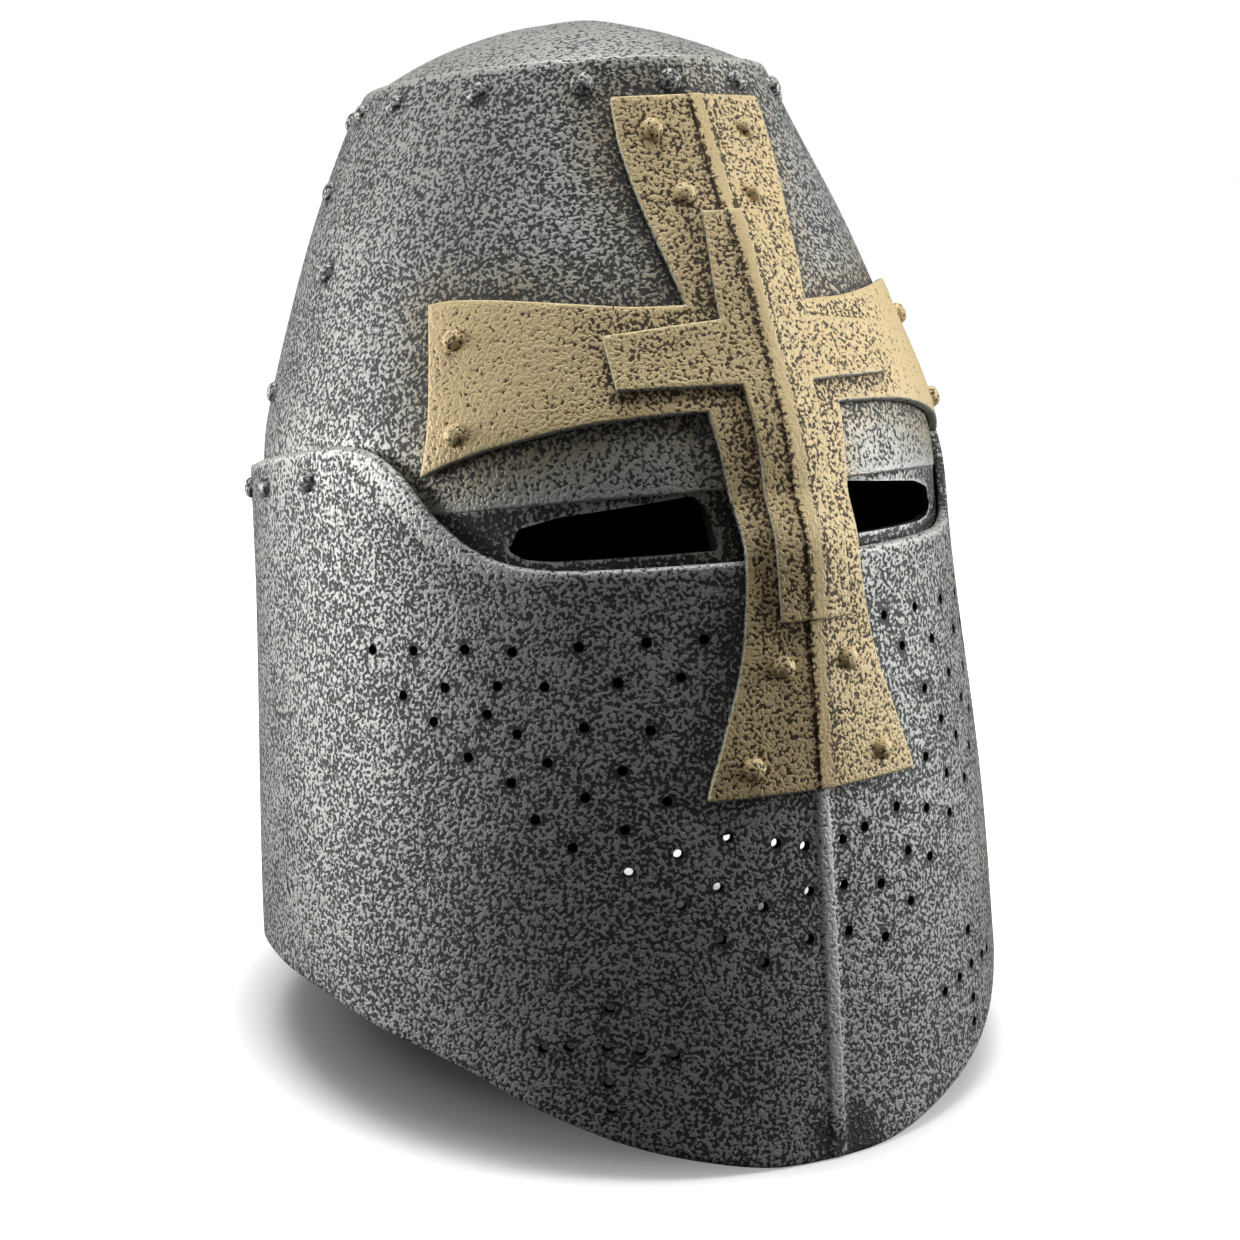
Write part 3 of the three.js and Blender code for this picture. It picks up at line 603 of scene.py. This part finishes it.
def skull():
    turns = shell_turns(1.0)
    brow = smooth(BROW, 1, np.abs(turns))
    count = len(turns)
    loops = []

    def add(z, out):
        loops.append(wall(SKULL, turns, z, out))

    groove = groove_depth(turns)
    floor = groove_floor(turns)
    add(FLANGE_FOOT, 0)
    add(floor - 0.3, 0)
    add(floor, -np.minimum(0.3, groove * 0.3))
    add(floor, -groove * 0.9)
    add(floor + 0.3, -groove)
    for share in np.linspace(0.08, 1, 9):
        add(floor + 0.3 + (brow + 1.3 - floor) * share, -groove)
    add(brow + 1.9, -groove * 0.9)
    add(brow + 1.3, -groove * 0.68)
    up, over = rounding(BROW_LIP, -90, 0, 6)
    for rise, inset in zip(up, over):
        add(brow + BROW_LIP + rise, inset - BROW_LIP)
    first_wall = len(loops)
    bottom, edge_round = brow + BROW_LIP, 0.7
    for share in np.linspace(0.015, 1, 62):
        add(bottom + (CROWN_EDGE - edge_round - bottom) * share, 0)
    up, over = rounding(edge_round, 20, 90, 4)
    for rise, inset in zip(up, over):
        add(CROWN_EDGE - edge_round + rise, inset - edge_round)
    first_inner = len(loops)
    seat_edge = -LIP_WIDTH - SEAT_WIDTH
    for z, out in ((CROWN_EDGE, -LIP_WIDTH + 0.3), (CROWN_EDGE - 0.3, -LIP_WIDTH), (CAP_SEAT, -LIP_WIDTH),
                   (CAP_SEAT, seat_edge), (CAP_SEAT - SEAT_HEIGHT, seat_edge)):
        spot = wall(SKULL, turns, CROWN_EDGE, out)
        spot[:, 2] = z
        loops.append(spot)
    for z in (CAP_SEAT - 8, *range(268, 195, -12)):
        add(z, -SKULL_WALL)
    add(brow + 5, -groove - SKULL_WALL)
    add(floor - 1, -groove - SKULL_WALL)
    add(FLANGE_FOOT, -FLANGE_WALL)
    points = np.stack(loops, 1)
    rows = points.shape[1]
    row = np.arange(rows)
    crest = crest_of(turns)[:, None] * (row > first_wall + 2) * (row < first_inner)
    points += crest[..., None] * (0, -0.25, 0)
    points += waves(points, 52, 5)[..., None] * normalised(points) * 0.3
    lined = np.tile(row, count) >= first_inner + 3
    faces = ring_faces(count, rows)
    return make_object("helm_skull", place(points).reshape(-1, 3), faces, [SILVER, LINING], lined)


def eye_cutters():
    points, faces = [], []
    for sign in (1, -1):
        outline = rounded([(sign * x, z) for x, z in EYE_HOLE][::sign], 1.1)
        first = len(points)
        count = len(outline)
        points += [(x, EYE_CUT_FRONT, z) for x, z in outline]
        points += [(x, EYE_CUT_BACK, z) for x, z in outline]
        faces.append([first + k for k in range(count)])
        faces.append([first + count + k for k in reversed(range(count))])
        for k in range(count):
            a, b = first + k, first + (k + 1) % count
            faces.append((b, a, a + count, b + count))
    return make_object("eye_cutters", place(np.array(points, float)), faces, [LINING])


def rounded(outline, radius, arc=4):
    """Polygon with each corner rounded off."""
    made = []
    count = len(outline)
    for k in range(count):
        corner = np.array(outline[k], float)
        before = np.array(outline[k - 1], float) - corner
        after = np.array(outline[(k + 1) % count], float) - corner
        a = corner + before / np.linalg.norm(before) * radius
        b = corner + after / np.linalg.norm(after) * radius
        for t in np.linspace(0, 1, arc + 1):
            made.append(tuple((1 - t) ** 2 * a + 2 * t * (1 - t) * corner + t * t * b))
    return made


def crown():
    columns, rings = 144, 26
    inset = LIP_WIDTH + 0.3
    turns = np.arange(columns) * 360 / columns - 180
    edge = wall(SKULL, turns, CROWN_EDGE, -inset)[:, :2]
    centre = np.array((0, smooth(SKULL, MIDDLE, CROWN_EDGE)))

    def top(x, share):
        crease = np.maximum(0, 1 - np.abs(x) / CREASE_HALF_WIDTH)
        return CAP_RIM + (DOME_RISE + DOME_CREASE * crease) * (1 - share * share)

    loops = []
    for share in np.linspace(0.02, 1, rings):
        spot = centre + (edge - centre) * min(share, 0.995)
        height = top(spot[:, 0], share) - (0.35 if share == 1 else 0)
        loops.append(np.column_stack([spot, height]))
    loops.append(np.column_stack([edge, np.full(columns, CAP_RIM - 0.7)]))
    loops.append(np.column_stack([edge, np.full(columns, CAP_SEAT + 0.3)]))
    for share in np.linspace(0.96, 0.02, 12):
        spot = centre + (edge - centre) * share
        under = np.maximum(CAP_SEAT + 0.3, top(spot[:, 0], share) - CAP_WALL)
        loops.append(np.column_stack([spot, under]))
    points = np.stack(loops, 1)
    points += waves(points, 44, 9)[..., None] * np.array((0, 0, 0.25))
    rows = points.shape[1]
    row = np.tile(np.arange(rows), columns)
    walls = row < rows - 1
    faces = [(a, d, c, b) for a, b, c, d in ring_faces(columns, rows)[walls].tolist()]
    lined = [*(row[walls] > rings + 1), False, True]
    faces.append([column * rows for column in range(columns)])
    faces.append([column * rows + rows - 1 for column in reversed(range(columns))])
    return make_object("helm_crown", place(points).reshape(-1, 3), faces, [SILVER, LINING], lined)


# The crosses

def spread(low, high, count):
    """Places across an upright, with columns at the sides of the crest strip."""
    strip = np.array((-CREST_HALF - 0.3, -CREST_HALF + 0.1, 0, CREST_HALF - 0.1, CREST_HALF + 0.3))
    left = np.linspace(low, strip[0], count)[:-1]
    right = np.linspace(strip[-1], high, count)[1:]
    return np.concatenate([left, strip, right])


def cross_piece(name, upright, arm, low, high, fineness):
    spots, keys, quads = [], {}, []

    def key_of(x, z):
        key = (round(float(x), 3), round(float(z), 3))
        if key not in keys:
            keys[key] = len(spots)
            spots.append(key)
        return keys[key]

    def block(rows):
        for lower, upper in zip(rows, rows[1:]):
            for k in range(len(lower) - 1):
                corners = (lower[k], lower[k + 1], upper[k + 1], upper[k])
                quads.append([key_of(*c) for c in corners])

    width = 2 + int(upright[:, 1].max() / fineness)

    def level(z, half):
        return [(x, z) for x in spread(-half, half, width)]

    foot, head = upright[0, 0], upright[-1, 0]
    root = arm[0]
    below = np.linspace(foot, root[2], 2 + int((root[2] - foot) / fineness))
    above = np.linspace(root[4], head, 2 + int((head - root[4]) / fineness))
    middle = np.linspace(0, 1, 2 + int((root[4] - root[2]) / fineness))
    block([level(z, float(smooth(upright, 1, z))) for z in below])
    block([level(root[2] + (root[4] - root[2]) * t, root[1] + (root[3] - root[1]) * t) for t in middle])
    block([level(z, float(smooth(upright, 1, z))) for z in above])
    along = np.linspace(0, 1, 2 + int((arm[-1, 1] - arm[0, 1]) / fineness))
    edges = [smooth(arm, k, along) for k in (1, 2, 3, 4)]
    for sign in (1, -1):
        rows = []
        for t in middle:
            x = (edges[0] + (edges[2] - edges[0]) * t) * sign
            z = edges[1] + (edges[3] - edges[1]) * t
            row = list(zip(x, z))
            rows.append(row if sign > 0 else row[::-1])
        block(rows)
    flat = np.array(spots)
    crest = np.clip((CREST_HALF + 0.2 - np.abs(flat[:, 0])) / 0.25, 0, 1) * CREST_RISE
    uneven = waves(np.column_stack([flat[:, 0], flat[:, 1], flat[:, 0] * 0]), 26, 11) * 0.12
    tops = front_offset(flat[:, 0], flat[:, 1], high + crest + uneven)
    unders = front_offset(flat[:, 0], flat[:, 1], low)
    shift = len(flat)
    sides = {}
    for quad in quads:
        for k in range(4):
            sides[(quad[k], quad[(k + 1) % 4])] = True
    faces = [tuple(q) for q in quads] + [tuple(shift + v for v in reversed(q)) for q in quads]
    for a, b in sides:
        if (b, a) not in sides:
            faces.append((a, shift + a, shift + b, b))
    sides_and_back = np.arange(len(faces)) >= len(quads)
    obj = make_object(name, place(np.vstack([tops, unders])), faces, [GOLD, SILVER], sides_and_back)
    bevel = obj.modifiers.new("edge", "BEVEL")
    bevel.width = 0.0011
    bevel.segments = 3
    bevel.limit_method = "ANGLE"
    bevel.angle_limit = math.radians(50)
    graph = bpy.context.evaluated_depsgraph_get()
    mesh = bpy.data.meshes.new_from_object(obj.evaluated_get(graph))
    obj.modifiers.clear()
    obj.data = mesh
    return obj


# Rivets

def rivet_set(name, spots, radius, height, material):
    """Soft domed heads at points with normals, as one piece."""
    sides = 24
    points, faces = [], []
    profile = [(-0.5, 1.08), (0.0, 1.05), (0.25, 1.0)] + [
        (0.25 + height * math.sin(a), math.cos(a) ** 0.9) for a in np.linspace(0.16, math.pi / 2 - 0.12, 7)
    ]
    for point, normal in spots:
        side = np.cross(normal, (0.1, 0.2, 1))
        side /= np.linalg.norm(side)
        top = np.cross(side, normal)
        first = len(points)
        for out, share in profile:
            for k in range(sides):
                a = 2 * math.pi * k / sides
                around = side * math.cos(a) + top * math.sin(a)
                points.append(point + normal * out + around * radius * share)
        for level in range(len(profile) - 1):
            for k in range(sides):
                a, b = first + level * sides + k, first + level * sides + (k + 1) % sides
                faces.append((a, a + sides, b + sides, b))
        pole = len(points)
        points.append(point + normal * (0.25 + height))
        last = first + (len(profile) - 1) * sides
        for k in range(sides):
            faces.append((last + k, pole, last + (k + 1) % sides))
        faces.append([first + k for k in range(sides)])
    return make_object(name, place(np.array(points)), faces, [material])


def wall_spot(sections, turn, z):
    def point_at(u, v):
        return wall(sections, u, v, 0)
    return point_at(turn, z), normal_of(point_at, turn, z)


def cross_spot(x, z):
    return front_offset(x, z, OUTER_TOP), normal_of(front_point, x, z)


plate = face_plate()
cut(plate, drills([(s * x, z) for x, z in BREATH_HOLES for s in (1, -1)], BREATH_RADIUS, BREATH_FLARE))
cut(plate, nick())
dome = crown()
bowl = skull()
cut(bowl, eye_cutters())
outer = cross_piece("helm_cross_outer", OUTER_UPRIGHT, OUTER_ARM, CROSS_GAP, OUTER_TOP, 1.6)
inner = cross_piece("helm_cross_inner", INNER_UPRIGHT, INNER_ARM, OUTER_TOP + CROSS_GAP, INNER_TOP, 1.4)

crown_spots = [wall_spot(SKULL, turn, CROWN_RIVET_Z) for turn in CROWN_TURNS]
seam_spots = [wall_spot(SKULL, sign * turn, z) for sign in (1, -1) for turn, z in SEAM_RIVETS]
plate_spots = [wall_spot(PLATE, sign * turn, z) for sign in (1, -1) for turn, z in PLATE_RIVETS]
plate_spots.append(wall_spot(PLATE, 180, 172))
cross_spots = [cross_spot(sign * x, z) for sign in (1, -1) for _, x, z in CROSS_RIVETS]
crown_rivets = rivet_set("helm_crown_rivets", crown_spots, RIVET_RADIUS, RIVET_HEIGHT, SILVER)
seam_rivets = rivet_set("helm_seam_rivets", seam_spots, RIVET_RADIUS, RIVET_HEIGHT, SILVER)
plate_rivets = rivet_set("helm_plate_rivets", plate_spots, RIVET_RADIUS, RIVET_HEIGHT, SILVER)
cross_rivets = rivet_set("helm_cross_rivets", cross_spots, CROSS_RIVET_RADIUS, RIVET_HEIGHT, GOLD)

# Painted shade, painted light, wear and gold overspray on the vertices

def points_of(spots):
    return np.array([point for point, _ in spots])


def mask(value, low, high):
    t = np.clip((value - low) / (high - low), 0, 1)
    return t * t * (3 - 2 * t)


def paint(obj, shade_and_wash, wear, even, dust):
    set_attribute(obj, "shade_and_wash", np.clip(shade_and_wash, -1, 1))
    set_attribute(obj, "wear", np.clip(wear, 0, 1))
    set_attribute(obj, "smooth", np.clip(even, 0, 1))
    set_attribute(obj, "dust", np.clip(dust, 0, 1))


def paint_plate():
    p = vertices_of(plate)
    turn = np.degrees(np.arctan2(p[:, 0], AXIS_Y - p[:, 1]))
    top = smooth(PLATE_EDGE, 1, np.abs(turn))
    cross_shade = near(p, OUTER_SPOTS, 6)
    rivet_shade = near(p, points_of(plate_spots), 6)
    ridge = mask(np.abs(p[:, 0]), 3.2, 2.0) * (p[:, 1] < 40)
    beside_shade = mask(np.abs(p[:, 0]), 5, 2.6) * (1 - ridge) * (p[:, 1] < 40)
    edge = mask(top - p[:, 2], 3.2, 0.6)
    shaded_lip = mask(top - p[:, 2], 9, 3) * mask(np.abs(turn - 52), 14, 7)
    chin_shade = near(p, np.array([wall(PLATE, 1.0, -8.0, 0.0)]), 15)
    holes = np.array([(side * x, z) for x, z in BREATH_HOLES for side in (1, -1)])
    hole_shade = near(p, front_offset(holes[:, 0], holes[:, 1], 0), 3.6)
    # Painted shade: darker paint round the breath holes, the cross and the rivets, beside the ridge strip, on
    # the chin and on the shaded part of the lip.
    shade_and_wash = hole_shade * 0.8 + cross_shade * 0.5 + rivet_shade * 0.7 + beside_shade * 0.7 + chin_shade * 1.3 + shaded_lip * 0.35
    paint(plate, shade_and_wash, edge * 0.6 * (1 - shaded_lip) + ridge * 0.25, ridge * 0.3, cross_shade * 0)


def eye_rim_spots():
    """Points along the edges of both eye holes, on the back of the slot."""
    spots = []
    for (x, z), (next_x, next_z) in zip(EYE_HOLE, EYE_HOLE[1:] + EYE_HOLE[:1]):
        for share in np.linspace(0, 1, 24, endpoint=False):
            spots.append((x + (next_x - x) * share, z + (next_z - z) * share))
    x, z = np.array(spots).T
    turn = np.degrees(np.arcsin(x / smooth(SKULL, HALF, z)))
    left = wall(SKULL, turn, z, -groove_depth(turn))
    return np.vstack([left, left * (-1, 1, 1)])


def paint_skull():
    p = vertices_of(bowl)
    turn = np.degrees(np.arctan2(p[:, 0], AXIS_Y - p[:, 1]))
    brow = smooth(BROW, 1, np.abs(turn))
    cross_shade = near(p, OUTER_SPOTS, 7)
    rivets = np.vstack([points_of(crown_spots), points_of(seam_spots)])
    rivet_shade = near(p, rivets, 6)
    lip = mask(p[:, 2] - brow, 3.4, 0.5) * (p[:, 2] > brow - 0.2)
    hole_rim = near(p, eye_rim_spots(), 1.5)
    # Painted light: the band of the brow above the eye slot, under the cross arms, is lightened.
    painted_light_band = mask(np.abs(p[:, 2] - brow - 11), 14, 8) * mask(np.abs(turn), 62, 50)
    crown_lip = mask(CROWN_EDGE - p[:, 2], 3.2, 0.2)
    recess_shade = mask(brow - p[:, 2], -0.5, 2.5)
    # Painted shade round the cross and the rivets and in the recess under the brow; painted light on the brow
    # band; the eye holes' rims are worn lighter.
    shade_and_wash = cross_shade * 0.5 + rivet_shade * 0.7 + recess_shade * 0.6 - hole_rim - painted_light_band * 0.3
    paint(bowl, shade_and_wash, lip * 0.6 + crown_lip * 0.6 + hole_rim * 0.8, lip * 0.1, near(p, OUTER_SPOTS, 16) * 1.2)


def paint_cross(obj, spots, others=None):
    p = vertices_of(obj)
    edge = near(p, spots, 2.2)
    beside_shade = near(p, others, 7) if others is not None else np.zeros(len(p))
    rivet_shade = near(p, points_of(cross_spots), 5.5) if others is not None else np.zeros(len(p))
    strip = mask(np.abs(p[:, 0]), CREST_HALF + 0.5, CREST_HALF)
    flank_shade = mask(np.abs(p[:, 0]), CREST_HALF + 2.6, CREST_HALF + 0.7) * (1 - strip)
    arms = mask(np.abs(p[:, 0]), 36, 62)
    # Painted shade beside the inner cross, round the rivets and along the flanks of the crest strip; the
    # outer arms carry less dark.
    shade_and_wash = beside_shade * 0.45 + rivet_shade * 0.4 + flank_shade * 0.7 - arms * 0.5
    paint(obj, shade_and_wash, edge * 0.8, strip * 0.8, strip * 0)


paint_plate()
paint_skull()
paint_cross(outer, spots_on_front(cross_outline(OUTER_UPRIGHT, OUTER_ARM), OUTER_TOP), INNER_SPOTS)
paint_cross(inner, spots_on_front(cross_outline(INNER_UPRIGHT, INNER_ARM), INNER_TOP))
for obj in (dome, crown_rivets, seam_rivets, plate_rivets, cross_rivets):
    none = np.zeros(len(obj.data.vertices))
    paint(obj, none, none + 0.15, none + (0.1 if obj is dome else 0), none)

finish_piece(plate, ["face_plate"])
finish_piece(bowl, ["skull"])
finish_piece(dome, ["crown_cap"])
finish_piece(outer, ["cross_outer"])
finish_piece(inner, ["cross_inner"])
finish_piece(crown_rivets, [f"crown_rivet_{k + 1}" for k in range(len(CROWN_TURNS))])
SIDES = ("left", "right")
finish_piece(seam_rivets, [f"seam_rivet_{s}_{k + 1}" for s in SIDES
                                     for k in range(len(SEAM_RIVETS))])
finish_piece(plate_rivets, [f"plate_rivet_{s}_{k + 1}" for s in SIDES
                                      for k in range(len(PLATE_RIVETS))] + ["plate_rivet_back"])
finish_piece(cross_rivets, [f"cross_rivet_{n}_{s}" for s in SIDES for n, _, _ in CROSS_RIVETS])

# Stage, light and camera

def studio():
    """Pale floor and white surround, with a painted shadow under and behind the helm. The side boxes leave
    the front of the helm in shade.
    """
    corners = [(x, y, FLOOR_LEVEL) for x, y in ((-6, -6), (6, -6), (6, 6), (-6, 6))]
    floor = make_object("floor", np.array(corners), [(0, 1, 2, 3)], [])
    pale = bpy.data.materials.new("pale_floor")
    pale.use_nodes = True
    tree = pale.node_tree
    shader = tree.nodes["Principled BSDF"].inputs
    shader["Roughness"].default_value = 0.9
    shader["Specular IOR Level"].default_value = 0
    shader["Emission Color"].default_value = (1, 1, 1, 1)
    spot = node(tree, "ShaderNodeTexCoord").outputs["Object"]
    # Painted shadow: the floor's glow and colour are turned down under the helm and in a soft patch behind
    # it.
    reach = oval_reach(tree, spot, (0, 0), (0.113, 0.13))
    behind = oval_reach(tree, spot, (0.06, 0.09), (0.11, 0.125))
    painted_contact_shadow = math_node(tree, "MULTIPLY_ADD", steps(tree, reach, 0.84, 1.3), 0.97, 0.03)
    painted_cast_shadow = math_node(tree, "MULTIPLY_ADD", steps(tree, behind, 0.5, 1.35), 0.84, 0.16)
    tree.links.new(math_node(tree, "MINIMUM", painted_contact_shadow, painted_cast_shadow), shader["Emission Strength"])
    tree.links.new(math_node(tree, "MULTIPLY", steps(tree, reach, 0.6, 0.95), 0.9), shader["Base Color"])
    floor.data.materials.append(pale)
    floor.visible_diffuse = False
    floor.visible_glossy = False

    world = bpy.data.worlds.new("studio")
    bpy.context.scene.world = world
    world.use_nodes = True
    world.node_tree.nodes["Background"].inputs["Color"].default_value = (1, 1, 1, 1)
    world.node_tree.nodes["Background"].inputs["Strength"].default_value = 1.0
    world.cycles_visibility.diffuse = False
    world.cycles_visibility.glossy = False

    area_light("left_box", (-1.1, 0.7, 0.2), (0, 0, 0.14), (0.9, 0.6), 17.5)
    area_light("right_box", (1.19, -0.5, 0.42), (0, 0, 0.16), (0.9, 1.0), 15.5)
    area_light("top_box", (0, 0.1, 1.5), (0, 0, 0.2), (1.0, 1.0), 16)
    area_light("front_fill", (-0.7, -1.3, 0.5), (0, 0, 0.16), (0.8, 0.8), 1.0)
    bpy.context.scene.view_settings.view_transform = "Standard"


def oval_reach(tree, spot, centre, radii):
    """Distance from an oval's centre on the floor, 1 on the oval itself."""
    centred = node(tree, "ShaderNodeVectorMath", {0: spot, 1: (*centre, 0)}, operation="SUBTRACT")
    scale = (1 / radii[0], 1 / radii[1], 0)
    scaled = node(tree, "ShaderNodeVectorMath", {0: centred.outputs[0], 1: scale}, operation="MULTIPLY")
    return node(tree, "ShaderNodeVectorMath", {0: scaled.outputs[0]}, operation="LENGTH").outputs["Value"]


def area_light(name, position, target, size, power):
    light = bpy.data.lights.new(name, "AREA")
    light.shape = "RECTANGLE"
    light.size, light.size_y = size
    light.energy = power
    obj = bpy.data.objects.new(name, light)
    obj.location = position
    obj.rotation_mode = "QUATERNION"
    obj.rotation_quaternion = (Vector(target) - Vector(position)).to_track_quat("-Z", "Y")
    bpy.context.scene.collection.objects.link(obj)


studio()

camera_data = bpy.data.cameras.new("camera")
camera_data.lens = 36 * FOCAL_PIXELS / PHOTO_PIXELS
camera_data.clip_start, camera_data.clip_end = 0.02, 50
camera = bpy.data.objects.new("camera", camera_data)
bpy.context.scene.collection.objects.link(camera)
bpy.context.scene.camera = camera
RIGHT, UP, BEHIND = (0.8748, -0.4811, -0.0582), (0.1136, 0.0869, 0.9897), (-0.471, -0.8724, 0.1307)
axes = Matrix([turned(v) for v in (RIGHT, UP, BEHIND)]).transposed().to_4x4()
camera.matrix_world = Matrix.Translation(Vector(place((-334.6, -510.6, 220.6)))) @ axes

bpy.context.view_layer.update()
